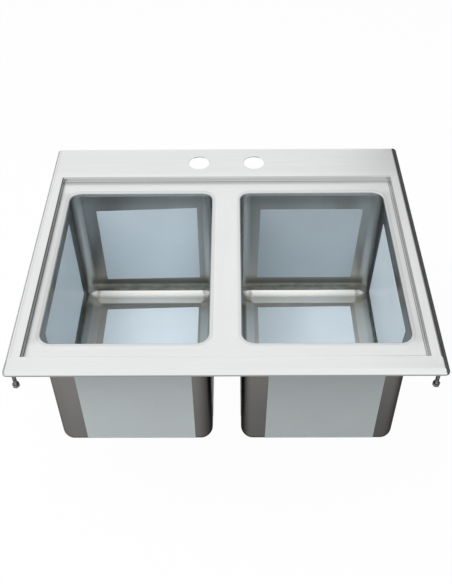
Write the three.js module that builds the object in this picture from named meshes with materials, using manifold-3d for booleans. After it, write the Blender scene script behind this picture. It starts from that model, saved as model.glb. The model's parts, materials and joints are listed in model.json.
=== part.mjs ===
// Drop-in kitchen sink with two equal bowls, drains and hold-down studs.
// Millimetres, +Z up, X from left to right, Y from the user's side to the faucet ledge.
// The origin is the middle of the rim, in the plane of the worktop that the rim rests on.

import * as THREE from 'three';
import { mergeVertices } from 'three/addons/utils/BufferGeometryUtils.js';
import Module from 'manifold-3d';

const wasm = await Module();
wasm.setup();

// ---- Driving dimensions -------------------------------------------------------------------

// Sheet metal
const SHEET = 1.5;

// Bowls: clear sizes inside
const BOWL_WIDTH = 254;
const BOWL_LENGTH = 355.6;
const BOWL_DEPTH = 258;
const BOWL_GAP = 51;
const BOWL_CORNER = 19;
const FLOOR_COVE = 19;

// Shelf that the bowls hang from: its width on each side of the bowls
const SIDE_SHELF = 15.1;
const FRONT_SHELF = 30.8;
const BACK_SHELF = 32.5;
const LIP_RADIUS = 5.5;
const LIP_SKIRT = 2.5;

// Step between the shelf and the rim
const STEP_DROP = 8.4;
const STEP_RADIUS = 1.6;
const STEP_CORNER = 1.2;

// Rim: widths from its outer edge to the step
const SIDE_RIM = 23.7;
const FRONT_RIM = 30.7;
const LEDGE = 91;
const RIM_CORNER = 8;

// Rim's edge, from the top: rolled corner, straight skirt, bend and turned-in foot
const ROLL_RADIUS = 6.5;
const RIM_SKIRT = 0.5;
const FOOT_BEND = 2;
const FOOT_WIDTH = 8;

// Faucet holes in the ledge
const FAUCET_HOLE = 38;
const FAUCET_PITCH = 101.6;
const FAUCET_FROM_EDGE = 48;

// Hold-down studs and nuts
const STUD_DIAMETER = 6;
const STUD_LENGTH = 46;
const STUD_FROM_FOOT = 1.8;
const STUD_TIP = 1;
const NUT_WALL = 1.9;
const NUT_HEIGHT = 5;
const NUT_FROM_TIP = 3.5;
const NUT_CLEARANCE = 0.1;

// Protective film on the flat walls
const FILM = 0.3;
const FILM_GAP = 0.1;
const FILM_MARGIN = 35;
const BACK_FILM_TOP = 38;
const BACK_FILM_BOTTOM = 44;
const SIDE_FILM_TOP = { left: 25, right: 32 };
const SIDE_FILM_BOTTOM = { left: 50, right: 34 };
const SIDE_FILM_BACK = { left: 50, right: 41 };
const SIDE_FILM_MARGIN = 41;
const FLOOR_FILM_MARGIN = 39;
const FILM_FROM_DRAIN = 0.5;
const OUTER_FILM_TOP = 14;
const OUTER_FILM_UNDER = 12;
const FILM_SHIFT = { left: 6, right: 2 };
const OUTER_FILM_SHIFT = { left: 8, right: 5 };

// Drain, about the outside of its tailpiece
const TAIL_DIAMETER = 38.1;
const TAIL_WALL = 1.2;
const TAIL_LENGTH = 100;
const TAIL_FLANGE_HEIGHT = 1.5;
const TAIL_WASHER_HEIGHT = 2;
const NECK_WALL = 4.45;
const NECK_LENGTH = 45;
const THREAD_CLEARANCE = 0.3;
const SLIP_CLEARANCE = 1;
const CUP_LEDGE = 6.45;
const SEAT_DROP = 1.4;
const FLANGE_BAND = 9;
const FLANGE_HEIGHT = 2.4;
const FLANGE_CLEARANCE = 0.5;
const RECESS_DEPTH = 2.5;
const RECESS_SLOPE = 1.5;
const HOLE_CLEARANCE = 1.5;
const GASKET_BAND = 10.5;
const GASKET_HEIGHT = 3.2;
const FRICTION_BAND = 9.5;
const FRICTION_HEIGHT = 1.2;
const LOCKNUT_WALL = 7.5;
const LOCKNUT_HEIGHT = 8;
const COUPLING_WALL = 4;
const COUPLING_GRIP = 12;
const COUPLING_LIP = 2.5;

// Crumb cup
const CUP_CLEARANCE = 0.6;
const CUP_SEAT_GAP = 0.1;
const CUP_RIM_HEIGHT = 1.2;
const CUP_WALL = 1;
const CUP_DEPTH = 20;
const POST_DIAMETER = 5;
const KNOB_DIAMETER = 13;
const KNOB_HEIGHT = 5;
const KNOB_LIFT = 6;
const CUP_HOLE = 3.2;
const HOLE_RING_PITCH = 5.2;
const HOLE_SPACING = 6.6;
const CUP_SLOTS = 10;
const CUP_SLOT_WIDTH = 2.6;
const CUP_SLOT_MARGIN = 5;

// Smoothness of round shapes
const CORNER_STEPS = 5;
const BEND_STEPS = 4;
const ROUND_SIDES = 24;
const HOLE_SIDES = 8;

// Making the solids: joined pieces overlap, cutting tools overshoot, corners are never quite sharp
const WELD_OVERLAP = 2;
const OVERSHOOT = 1;
const CRISP_CORNER = 0.4;
const CRISP_BEND = 0.1;
const MERGE_DISTANCE = 1e-4;

// ---- Places worked out from the dimensions ------------------------------------------------

const STEP_RUN = 2 * STEP_RADIUS;
const rimWidth = 2 * (SIDE_RIM + STEP_RUN + SIDE_SHELF + BOWL_WIDTH) + BOWL_GAP;
const rimDepth = FRONT_RIM + FRONT_SHELF + BOWL_LENGTH + BACK_SHELF + LEDGE + 2 * STEP_RUN;
const rimTop = FOOT_BEND + RIM_SKIRT + ROLL_RADIUS;
const shelfTop = rimTop - STEP_DROP;
const seamHeight = shelfTop - LIP_RADIUS - LIP_SKIRT;
const floorTop = shelfTop - BOWL_DEPTH;
const floorUnder = floorTop - SHEET;
const bowlX = (BOWL_GAP + BOWL_WIDTH) / 2;
const bowlY = -rimDepth / 2 + FRONT_RIM + STEP_RUN + FRONT_SHELF + BOWL_LENGTH / 2;

// The drain's diameters, each outside the last
const drainBore = TAIL_DIAMETER;
const neckDiameter = drainBore + 2 * NECK_WALL;
const threadBore = neckDiameter + 2 * THREAD_CLEARANCE;
const tailFlange = neckDiameter - 2 * SLIP_CLEARANCE;
const drainHole = neckDiameter + 2 * HOLE_CLEARANCE;
const seatDiameter = drainBore + 2 * CUP_LEDGE;
const flangeDiameter = seatDiameter + 2 * FLANGE_BAND;
const recessFoot = flangeDiameter + 2 * FLANGE_CLEARANCE;
const recessBrim = recessFoot + 2 * RECESS_SLOPE;

// The drain's heights, from the recessed flange down to the open end of the tailpiece
const recessTop = floorTop - RECESS_DEPTH;
const flangeTop = recessTop + FLANGE_HEIGHT;
const cupSeat = flangeTop - SEAT_DROP;
const gasketTop = recessTop - SHEET;
const frictionTop = gasketTop - GASKET_HEIGHT;
const locknutTop = frictionTop - FRICTION_HEIGHT;
const neckEnd = gasketTop - NECK_LENGTH;
const tailFlangeTop = neckEnd - TAIL_WASHER_HEIGHT;
const tailFlangeUnder = tailFlangeTop - TAIL_FLANGE_HEIGHT;

// ---- Materials ----------------------------------------------------------------------------

const finish = (color, roughness, metalness) => new THREE.MeshStandardMaterial({ color, roughness, metalness });
const brushedSteel = finish(0xc9cbca, 0.35, 1);
const innerFilm = finish(0xa9bccb, 0.4, 0);
const outerFilmFinish = finish(0xa5acab, 0.5, 0);
const zinc = finish(0x8d8f8c, 0.4, 1);
const chrome = finish(0xd6d8da, 0.12, 1);
const blackRubber = finish(0x1c1c1d, 0.8, 0);
const fibre = finish(0x9a7b55, 0.9, 0);
const whitePlastic = finish(0xe4e2da, 0.5, 0);

// ---- Geometry helpers ---------------------------------------------------------------------

const range = (count) => Array.from({ length: count }, (_, i) => i);

// Points of an arc as [x, y], with angles in degrees.
function arc(cx, cy, radius, from, to, steps = BEND_STEPS) {
  return range(steps + 1).map((i) => {
    const angle = THREE.MathUtils.degToRad(from + ((to - from) * i) / steps);
    return [cx + radius * Math.cos(angle), cy + radius * Math.sin(angle)];
  });
}

// A rectangle with rounded corners, as a closed outline.
function roundedRect({ x0, x1, y0, y1 }, radius) {
  return [
    ...arc(x1 - radius, y1 - radius, radius, 0, 90, CORNER_STEPS),
    ...arc(x0 + radius, y1 - radius, radius, 90, 180, CORNER_STEPS),
    ...arc(x0 + radius, y0 + radius, radius, 180, 270, CORNER_STEPS),
    ...arc(x1 - radius, y0 + radius, radius, 270, 360, CORNER_STEPS),
  ];
}

// A rectangle drawn in by an inset; its corner radius shrinks with it, down to a crisp corner.
function insetRect(box, inset, radius) {
  const smaller = { x0: box.x0 + inset, x1: box.x1 - inset, y0: box.y0 + inset, y1: box.y1 - inset };
  return roundedRect(smaller, Math.max(radius - inset, CRISP_CORNER));
}

// A closed ring-shaped surface through loops of equal length, each { outline, z }; the last loop
// joins the first. The winding follows the sign of the volume, so the faces point out.
function loft(loops) {
  const count = loops[0].outline.length;
  const positions = loops.flatMap(({ outline, z }) => outline.flatMap(([x, y]) => [x, y, z]));
  const faces = [];
  loops.forEach((_, i) => {
    const here = i * count;
    const next = ((i + 1) % loops.length) * count;
    range(count).forEach((j) => {
      const k = (j + 1) % count;
      faces.push([here + j, here + k, next + k], [here + j, next + k, next + j]);
    });
  });
  const corner = (i) => new THREE.Vector3().fromArray(positions, 3 * i);
  const volume = faces.reduce((sum, [a, b, c]) => sum + corner(a).dot(corner(b).cross(corner(c))), 0);
  const geometry = new THREE.BufferGeometry();
  geometry.setAttribute('position', new THREE.Float32BufferAttribute(positions, 3));
  geometry.setIndex(faces.flatMap(([a, b, c]) => (volume < 0 ? [a, c, b] : [a, b, c])));
  return geometry;
}

// A solid turned about the Z axis, from [radius, z] points that start and end on the axis.
function turnedSolid(profile) {
  const points = profile.map(([radius, z]) => new THREE.Vector2(radius, z));
  return new THREE.LatheGeometry(points, ROUND_SIDES).rotateX(Math.PI / 2);
}

// A hollow turned about the Z axis, whose profile goes round its wall once and closes.
const turned = (profile) => turnedSolid([...profile, profile[0]]);

// A plain ring or tube about the Z axis.
function ring(inner, outer, bottom, top) {
  return turned([[inner / 2, bottom], [outer / 2, bottom], [outer / 2, top], [inner / 2, top]]);
}

function rod(diameter, bottom, top, sides = ROUND_SIDES) {
  const height = top - bottom;
  return new THREE.CylinderGeometry(diameter / 2, diameter / 2, height, sides)
    .rotateX(Math.PI / 2)
    .translate(0, 0, bottom + height / 2);
}

// A hexagonal prism about the Z axis, flats facing along Y.
function hexPrism(flats, bottom, top) {
  return rod(flats / Math.cos(Math.PI / 6), bottom, top, 6).rotateZ(Math.PI / 6);
}

function plate(outline, holes, bottom, top) {
  const shape = new THREE.Shape(outline.map(([x, y]) => new THREE.Vector2(x, y)));
  shape.holes = holes.map((hole) => new THREE.Path(hole.map(([x, y]) => new THREE.Vector2(x, y))));
  return new THREE.ExtrudeGeometry(shape, { depth: top - bottom, bevelEnabled: false }).translate(0, 0, bottom);
}

function toSolid(geometry) {
  const bare = geometry.clone();
  bare.deleteAttribute('normal');
  bare.deleteAttribute('uv');
  const merged = mergeVertices(bare, MERGE_DISTANCE);
  return new wasm.Manifold(new wasm.Mesh({
    numProp: 3,
    vertProperties: new Float32Array(merged.attributes.position.array),
    triVerts: new Uint32Array(merged.index.array),
  }));
}

function toGeometry(solid) {
  const { vertProperties, triVerts } = solid.getMesh();
  const geometry = new THREE.BufferGeometry();
  geometry.setAttribute('position', new THREE.BufferAttribute(vertProperties, 3));
  geometry.setIndex(new THREE.BufferAttribute(triVerts, 1));
  return geometry;
}

const join = (first, ...rest) => toGeometry(rest.reduce((sum, g) => sum.add(toSolid(g)), toSolid(first)));
const cut = (body, ...tools) => toGeometry(tools.reduce((left, g) => left.subtract(toSolid(g)), toSolid(body)));

function piece(name, geometry, material) {
  const mesh = new THREE.Mesh(geometry, material);
  mesh.name = name;
  return mesh;
}

// ---- Deck ---------------------------------------------------------------------------------

const rimBox = { x0: -rimWidth / 2, x1: rimWidth / 2, y0: -rimDepth / 2, y1: rimDepth / 2 };
const stepBox = {
  x0: rimBox.x0 + SIDE_RIM,
  x1: rimBox.x1 - SIDE_RIM,
  y0: rimBox.y0 + FRONT_RIM,
  y1: rimBox.y1 - LEDGE,
};

function bowlBox(centreX) {
  return {
    x0: centreX - BOWL_WIDTH / 2,
    x1: centreX + BOWL_WIDTH / 2,
    y0: bowlY - BOWL_LENGTH / 2,
    y1: bowlY + BOWL_LENGTH / 2,
  };
}

// The rim's section is swept round the sink: foot, rolled edge, flat top, step down to the shelf.
function rim() {
  const rimLoop = ([inset, z]) => ({ outline: insetRect(rimBox, inset, RIM_CORNER), z });
  const stepLoop = ([inset, z]) => ({ outline: insetRect(stepBox, inset, STEP_CORNER + inset), z });
  const convex = Math.max(STEP_RADIUS - SHEET, CRISP_BEND);
  const stepFoot = shelfTop + STEP_RADIUS;
  const over = [
    rimLoop([FOOT_WIDTH, 0]),
    ...arc(FOOT_BEND, FOOT_BEND, FOOT_BEND, 270, 180, 2).map(rimLoop),
    ...arc(ROLL_RADIUS, rimTop - ROLL_RADIUS, ROLL_RADIUS, 180, 90).map(rimLoop),
    ...arc(0, rimTop - STEP_RADIUS, STEP_RADIUS, 90, 0, 3).map(stepLoop),
    ...arc(STEP_RUN, stepFoot, STEP_RADIUS, 180, 270, 3).map(stepLoop),
    stepLoop([STEP_RUN + WELD_OVERLAP, shelfTop]),
  ];
  const under = [
    stepLoop([STEP_RUN + WELD_OVERLAP, shelfTop - SHEET]),
    ...arc(STEP_RUN, stepFoot, STEP_RUN - convex, 270, 180, 3).map(stepLoop),
    ...arc(0, rimTop - STEP_RADIUS, convex, 0, 90, 1).map(stepLoop),
    ...arc(ROLL_RADIUS, rimTop - ROLL_RADIUS, ROLL_RADIUS - SHEET, 90, 180).map(rimLoop),
    ...arc(FOOT_BEND, FOOT_BEND, Math.max(FOOT_BEND - SHEET, CRISP_BEND), 180, 270, 1).map(rimLoop),
    rimLoop([FOOT_WIDTH, SHEET]),
  ];
  return loft([...over, ...under]);
}

// The rounded, turned-down edge of one bowl opening.
function lip(centreX) {
  const lipLoop = ([outset, z]) => ({ outline: insetRect(bowlBox(centreX), -outset, BOWL_CORNER), z });
  const bendHeight = shelfTop - LIP_RADIUS;
  return loft([
    lipLoop([LIP_RADIUS + WELD_OVERLAP, shelfTop]),
    ...arc(LIP_RADIUS, bendHeight, LIP_RADIUS, 90, 180).map(lipLoop),
    lipLoop([0, seamHeight]),
    lipLoop([SHEET, seamHeight]),
    ...arc(LIP_RADIUS, bendHeight, LIP_RADIUS - SHEET, 180, 90).map(lipLoop),
    lipLoop([LIP_RADIUS + WELD_OVERLAP, shelfTop - SHEET]),
  ]);
}

function deck() {
  const shelf = plate(
    insetRect(stepBox, STEP_RUN + WELD_OVERLAP / 2, STEP_CORNER),
    [-bowlX, bowlX].map((x) => insetRect(bowlBox(x), -LIP_RADIUS - WELD_OVERLAP / 2, BOWL_CORNER)),
    shelfTop - SHEET,
    shelfTop,
  );
  const faucetY = rimBox.y1 - FAUCET_FROM_EDGE;
  const faucetHoles = [-FAUCET_PITCH / 2, FAUCET_PITCH / 2].map((x) =>
    rod(FAUCET_HOLE, rimTop - SHEET - OVERSHOOT, rimTop + OVERSHOOT).translate(x, faucetY, 0));
  const sheet = join(rim(), shelf, lip(-bowlX), lip(bowlX));
  return piece('deck', cut(sheet, ...faucetHoles), brushedSteel);
}

// ---- Bowl ---------------------------------------------------------------------------------
// A bowl and what belongs to it are drawn about the bowl's own centre.

const wallBox = { x0: -BOWL_WIDTH / 2, x1: BOWL_WIDTH / 2, y0: -BOWL_LENGTH / 2, y1: BOWL_LENGTH / 2 };

// The floor round the drain hole is pressed down, so that the drain's flange lies in it.
function drainRecess() {
  const hole = drainHole / 2;
  const foot = recessFoot / 2;
  const brim = recessBrim / 2;
  const edge = brim + SHEET + WELD_OVERLAP;
  return turned([
    [hole, gasketTop], [foot + SHEET, gasketTop], [brim + SHEET, floorUnder], [edge, floorUnder],
    [edge, floorTop], [brim, floorTop], [foot, recessTop], [hole, recessTop],
  ]);
}

function bowl(name) {
  const wallLoop = ([inset, z]) => ({ outline: insetRect(wallBox, inset, BOWL_CORNER), z });
  const coveHeight = floorTop + FLOOR_COVE;
  const walls = loft([
    wallLoop([0, seamHeight]),
    ...arc(FLOOR_COVE, coveHeight, FLOOR_COVE, 180, 270, CORNER_STEPS).map(wallLoop),
    wallLoop([FLOOR_COVE + WELD_OVERLAP, floorTop]),
    wallLoop([FLOOR_COVE + WELD_OVERLAP, floorUnder]),
    ...arc(FLOOR_COVE, coveHeight, FLOOR_COVE + SHEET, 270, 180, CORNER_STEPS).map(wallLoop),
    wallLoop([-SHEET, seamHeight]),
  ]);
  const edge = recessBrim / 2 + SHEET + WELD_OVERLAP / 2;
  const floor = plate(
    insetRect(wallBox, FLOOR_COVE + WELD_OVERLAP / 2, BOWL_CORNER),
    [arc(0, 0, edge, 0, 360, ROUND_SIDES).slice(1)],
    floorUnder,
    floorTop,
  );
  return piece(name, join(walls, floor, drainRecess()), brushedSteel);
}

// ---- Protective film ----------------------------------------------------------------------

const filmWidth = BOWL_WIDTH - 2 * FILM_MARGIN;
const sideFilmLength = BOWL_LENGTH - 2 * SIDE_FILM_MARGIN;

// A flat sheet of film between two corners of a box.
function sheetBox([x0, y0, z0], [x1, y1, z1]) {
  return new THREE.BoxGeometry(x1 - x0, y1 - y0, z1 - z0)
    .translate((x0 + x1) / 2, (y0 + y1) / 2, (z0 + z1) / 2);
}

function innerFilms(side) {
  const near = FILM_GAP;
  const far = FILM_GAP + FILM;
  const left = FILM_SHIFT[side] - filmWidth / 2;
  const right = FILM_SHIFT[side] + filmWidth / 2;
  const { x0, x1, y0, y1 } = wallBox;
  const top = shelfTop - BACK_FILM_TOP;
  const bottom = floorTop + BACK_FILM_BOTTOM;
  const sideTop = shelfTop - SIDE_FILM_TOP[side];
  const sideBottom = floorTop + SIDE_FILM_BOTTOM[side];
  const front = y0 + SIDE_FILM_MARGIN;
  const back = y1 - SIDE_FILM_BACK[side];
  const floor = plate(
    [[left, y0 + FLOOR_FILM_MARGIN], [right, y0 + FLOOR_FILM_MARGIN],
      [right, y1 - FLOOR_FILM_MARGIN], [left, y1 - FLOOR_FILM_MARGIN]],
    [arc(0, 0, recessBrim / 2 + FILM_FROM_DRAIN, 0, 360, ROUND_SIDES).slice(1)],
    floorTop + near,
    floorTop + far,
  );
  return [
    piece(`film_back_${side}`, sheetBox([left, y1 - far, bottom], [right, y1 - near, top]), innerFilm),
    piece(`film_front_${side}`, sheetBox([left, y0 + near, bottom], [right, y0 + far, top]), innerFilm),
    piece(`film_west_${side}`, sheetBox([x0 + near, front, sideBottom], [x0 + far, back, sideTop]), innerFilm),
    piece(`film_east_${side}`, sheetBox([x1 - far, front, sideBottom], [x1 - near, back, sideTop]), innerFilm),
    piece(`film_floor_${side}`, floor, innerFilm),
  ];
}

// A strip of film down the outside of a wall and round the bottom cove, drawn for a wall that
// faces -Y at y = 0, with the floor's underside at z = 0 and the cove's centre behind the wall.
function outerFilm(width, height) {
  const cove = FLOOR_COVE + SHEET;
  const skin = (gap) => {
    const corner = arc(cove, cove, cove + gap, 180, 270, CORNER_STEPS);
    return [[-gap, height], ...corner, [cove + OUTER_FILM_UNDER, -gap]];
  };
  const section = [...skin(FILM_GAP), ...skin(FILM_GAP + FILM).reverse()];
  return plate(section, [], -width / 2, width / 2)
    .applyMatrix4(new THREE.Matrix4().makeBasis(
      new THREE.Vector3(0, 1, 0), new THREE.Vector3(0, 0, 1), new THREE.Vector3(1, 0, 0)));
}

function outerFilms(side) {
  const height = shelfTop - OUTER_FILM_TOP - floorUnder;
  const halfWidth = BOWL_WIDTH / 2 + SHEET;
  const halfLength = BOWL_LENGTH / 2 + SHEET;
  const shift = OUTER_FILM_SHIFT[side];
  const place = (name, width, turn, x, y) => {
    const film = piece(`film_outer_${name}_${side}`, outerFilm(width, height), outerFilmFinish);
    film.rotation.z = turn;
    film.position.set(x, y, floorUnder);
    return film;
  };
  return [
    place('front', filmWidth, 0, shift, -halfLength),
    place('back', filmWidth, Math.PI, shift, halfLength),
    place('west', sideFilmLength, -Math.PI / 2, -halfWidth, 0),
    place('east', sideFilmLength, Math.PI / 2, halfWidth, 0),
  ];
}

// ---- Drain --------------------------------------------------------------------------------

function drainBody(side) {
  const flange = flangeDiameter / 2;
  const seat = seatDiameter / 2;
  return piece(`drain_body_${side}`, turned([
    [drainBore / 2, neckEnd],
    [neckDiameter / 2, neckEnd],
    [neckDiameter / 2, recessTop],
    [flange, recessTop],
    [flange, recessTop + FLANGE_HEIGHT / 3],
    [flange - FLANGE_HEIGHT, flangeTop],
    [seat + SEAT_DROP, flangeTop],
    [seat, cupSeat],
    [drainBore / 2, cupSeat],
  ]), chrome);
}

function locknut(side) {
  const under = locknutTop - LOCKNUT_HEIGHT;
  const blank = hexPrism(neckDiameter + 2 * LOCKNUT_WALL, under, locknutTop);
  const bore = rod(threadBore, under - OVERSHOOT, locknutTop + OVERSHOOT);
  return piece(`locknut_${side}`, cut(blank, bore), chrome);
}

function tailpiece(side) {
  const inner = TAIL_DIAMETER / 2 - TAIL_WALL;
  const end = tailFlangeTop - TAIL_LENGTH;
  return piece(`tailpiece_${side}`, turned([
    [inner, end],
    [TAIL_DIAMETER / 2, end],
    [TAIL_DIAMETER / 2, tailFlangeUnder],
    [tailFlange / 2, tailFlangeUnder],
    [tailFlange / 2, tailFlangeTop],
    [inner, tailFlangeTop],
  ]), chrome);
}

// The coupling nut screws on the neck and holds the tailpiece's flange up on its inner lip.
function couplingNut(side) {
  const top = neckEnd + COUPLING_GRIP;
  const bottom = tailFlangeUnder - COUPLING_LIP;
  const blank = hexPrism(threadBore + 2 * COUPLING_WALL, bottom, top);
  const thread = rod(threadBore, tailFlangeUnder, top + OVERSHOOT);
  const throat = rod(TAIL_DIAMETER + 2 * THREAD_CLEARANCE, bottom - OVERSHOOT, tailFlangeUnder + OVERSHOOT);
  return piece(`coupling_nut_${side}`, cut(blank, thread, throat), chrome);
}

// A perforated cup with a rim that rests in the drain's seat and a knob on a post to lift it by.
function crumbCup(side) {
  const rimUnder = cupSeat + CUP_SEAT_GAP;
  const rimUpper = rimUnder + CUP_RIM_HEIGHT;
  const rimRadius = seatDiameter / 2 - CUP_CLEARANCE;
  const outer = drainBore / 2 - CUP_CLEARANCE;
  const inner = outer - CUP_WALL;
  const post = POST_DIAMETER / 2;
  const knob = KNOB_DIAMETER / 2;
  const bottom = rimUnder - CUP_DEPTH;
  const knobUnder = rimUpper + KNOB_LIFT;
  const body = turnedSolid([
    [0, bottom], [outer, bottom], [outer, rimUnder], [rimRadius, rimUnder], [rimRadius, rimUpper],
    [inner, rimUpper], [inner, bottom + CUP_WALL], [post, bottom + CUP_WALL], [post, knobUnder],
    [knob, knobUnder + KNOB_HEIGHT / 3], [knob, knobUnder + (2 * KNOB_HEIGHT) / 3],
    [knob / 2, knobUnder + KNOB_HEIGHT], [0, knobUnder + KNOB_HEIGHT],
  ]);
  const rings = range(Math.floor((inner - CUP_HOLE - post) / HOLE_RING_PITCH))
    .map((i) => post + (i + 1) * HOLE_RING_PITCH);
  const holes = rings.flatMap((radius) => {
    const count = Math.floor((2 * Math.PI * radius) / HOLE_SPACING);
    const hole = rod(CUP_HOLE, bottom - OVERSHOOT, bottom + CUP_WALL + OVERSHOOT, HOLE_SIDES);
    return range(count).map((i) => hole.clone().translate(radius, 0, 0).rotateZ((2 * Math.PI * i) / count));
  });
  const slot = sheetBox(
    [inner - OVERSHOOT, -CUP_SLOT_WIDTH / 2, bottom + CUP_SLOT_MARGIN],
    [outer + OVERSHOOT, CUP_SLOT_WIDTH / 2, rimUnder - CUP_SLOT_MARGIN],
  );
  const slots = range(CUP_SLOTS).map((i) => slot.clone().rotateZ((2 * Math.PI * i) / CUP_SLOTS));
  return piece(`crumb_cup_${side}`, cut(body, ...holes, ...slots), chrome);
}

function drain(side) {
  const gasket = ring(threadBore, neckDiameter + 2 * GASKET_BAND, frictionTop, gasketTop);
  const friction = ring(threadBore, neckDiameter + 2 * FRICTION_BAND, locknutTop, frictionTop);
  const tailWasher = ring(drainBore, tailFlange, tailFlangeTop, neckEnd);
  return [
    drainBody(side),
    piece(`drain_gasket_${side}`, gasket, blackRubber),
    piece(`friction_ring_${side}`, friction, fibre),
    locknut(side),
    piece(`tail_washer_${side}`, tailWasher, whitePlastic),
    tailpiece(side),
    couplingNut(side),
    crumbCup(side),
  ];
}

// ---- Hold-down studs ----------------------------------------------------------------------

// A stud welded under the rim, its lower end chamfered, with the hex nut that runs on it.
function holdDown(name, x, y) {
  const top = rimTop - SHEET;
  const tip = top - STUD_LENGTH;
  const radius = STUD_DIAMETER / 2;
  const stud = turnedSolid([
    [0, tip], [radius - STUD_TIP, tip], [radius, tip + STUD_TIP], [radius, top], [0, top],
  ]);
  const nutUnder = tip + NUT_FROM_TIP;
  const nutTop = nutUnder + NUT_HEIGHT;
  const nutBore = STUD_DIAMETER + 2 * NUT_CLEARANCE;
  const blank = hexPrism(nutBore + 2 * NUT_WALL, nutUnder, nutTop);
  const nut = cut(blank, rod(nutBore, nutUnder - OVERSHOOT, nutTop + OVERSHOOT));
  const unit = new THREE.Group();
  unit.position.set(x, y, 0);
  unit.add(piece(`stud_${name}`, stud, zinc), piece(`nut_${name}`, nut, zinc));
  return unit;
}

// ---- Assembly -----------------------------------------------------------------------------

function bowlUnit(side, x) {
  const unit = new THREE.Group();
  unit.position.set(x, bowlY, 0);
  unit.add(bowl(`bowl_${side}`), ...innerFilms(side), ...outerFilms(side), ...drain(side));
  return unit;
}

const studInset = FOOT_WIDTH + STUD_DIAMETER / 2 + STUD_FROM_FOOT;
const studX = rimBox.x1 - studInset;
const studY = rimBox.y1 - studInset;

const sink = new THREE.Group();
sink.add(
  deck(),
  bowlUnit('left', -bowlX),
  bowlUnit('right', bowlX),
  holdDown('front_left', -studX, -studY),
  holdDown('front_right', studX, -studY),
  holdDown('rear_left', -studX, studY),
  holdDown('rear_right', studX, studY),
);

export default sink;
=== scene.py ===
import json
from math import asin, cos, degrees, pi, radians, sin, tan

import bmesh
import bpy
from mathutils import Matrix, Vector
from mathutils.geometry import tessellate_polygon

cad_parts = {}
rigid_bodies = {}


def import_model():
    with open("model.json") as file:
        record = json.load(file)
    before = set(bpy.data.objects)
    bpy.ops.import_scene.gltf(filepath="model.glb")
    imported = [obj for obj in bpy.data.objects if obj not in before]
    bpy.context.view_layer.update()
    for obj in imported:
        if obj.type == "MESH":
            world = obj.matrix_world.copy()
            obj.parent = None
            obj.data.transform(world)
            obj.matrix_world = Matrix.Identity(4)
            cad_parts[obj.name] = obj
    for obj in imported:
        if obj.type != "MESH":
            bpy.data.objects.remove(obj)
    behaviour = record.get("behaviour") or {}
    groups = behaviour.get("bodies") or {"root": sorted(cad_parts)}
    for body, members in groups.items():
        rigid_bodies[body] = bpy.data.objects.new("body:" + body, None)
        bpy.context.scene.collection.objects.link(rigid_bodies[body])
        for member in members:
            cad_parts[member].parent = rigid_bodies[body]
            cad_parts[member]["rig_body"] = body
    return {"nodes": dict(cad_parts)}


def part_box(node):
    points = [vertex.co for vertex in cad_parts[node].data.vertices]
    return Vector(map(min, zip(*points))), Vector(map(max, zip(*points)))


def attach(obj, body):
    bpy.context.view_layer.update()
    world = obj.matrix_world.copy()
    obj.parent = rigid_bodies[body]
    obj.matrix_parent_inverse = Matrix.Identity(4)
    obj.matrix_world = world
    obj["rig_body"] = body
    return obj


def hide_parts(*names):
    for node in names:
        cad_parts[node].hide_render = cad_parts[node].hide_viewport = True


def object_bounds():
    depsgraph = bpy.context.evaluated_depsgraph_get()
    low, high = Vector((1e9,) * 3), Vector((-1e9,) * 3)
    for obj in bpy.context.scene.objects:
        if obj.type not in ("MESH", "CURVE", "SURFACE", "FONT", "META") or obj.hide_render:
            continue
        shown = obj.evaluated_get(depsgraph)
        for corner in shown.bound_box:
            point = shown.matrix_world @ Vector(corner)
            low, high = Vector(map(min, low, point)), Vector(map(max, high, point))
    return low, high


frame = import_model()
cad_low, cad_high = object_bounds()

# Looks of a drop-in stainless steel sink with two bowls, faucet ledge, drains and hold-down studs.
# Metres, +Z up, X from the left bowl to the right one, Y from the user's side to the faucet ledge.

scene = bpy.context.scene
SIDES = ("left", "right")

# ---- Sizes that the frame's boxes don't give ----

SHEET = 0.0015
BOWL_CORNER = 0.019
LIP_RADIUS = 0.003
LIP_SKIRT = 0.005
SIDE_RIM = 0.0237
FRONT_RIM = 0.0307
LEDGE = 0.091
RIM_CORNER = 0.008
ROLL_RADIUS = 0.0065
ROLL_WIDTH = 0.0095
RIM_FOOT_BEND = 0.002
RIM_FOOT_WIDTH = 0.008
STEP_DROP = 0.0084
STEP_RADIUS = 0.0016
STEP_CORNER = 0.0012
FAUCET_HOLE = 0.038
FAUCET_PITCH = 0.1016
FAUCET_FROM_EDGE = 0.048
HOLE_BURR = 0.0003

# The cove between a bowl's wall and floor: an arc, a crease, a tighter bend and a shallow foot
FLOOR_COVE = 0.019
CREASE_HEIGHT = 0.0105
CREASE_SLOPE = radians(42)
FOOT_SLOPE = radians(14.5)
FOOT_RUN = 0.012
FOOT_EASE = 0.0005
RECESS_DEPTH = 0.0025
RECESS_FOOT = 0.070
RECESS_BRIM = 0.073
DRAIN_HOLE = 0.050

FILM = 0.0003
FILM_GAP = 0.0001
FILM_FROM_DRAIN = 0.0005
FILM_CORNER = 0.0008
FILM_RIPPLE = 0.00012
FILM_GRID = 0.008
# How the visible films were stuck a little out of square: each corner's offset along and up the panel,
# from its first corner round to the one above it
FILM_LEANS = {
    "film_back_left": ((0, -0.0025), (0, 0.0017), (0, 0.0028), (-0.0012, -0.0042)),
    "film_back_right": ((-0.0038, 0.0011), (-0.002, 0.0011), (0.0031, -0.0016), (0, -0.0016)),
    "film_west_left": ((0, 0), (0.001, 0), (-0.006, 0), (0, 0)),
    "film_east_right": ((0.036, 0), (0.01, 0), (-0.01, 0), (0.008, 0)),
    "film_floor_left": ((0, 0), (-0.0026, 0), (-0.0026, 0), (0, -0.0058)),
    "film_floor_right": ((-0.002, 0), (-0.002, 0), (-0.002, 0.001), (-0.002, -0.0016)),
}
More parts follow.
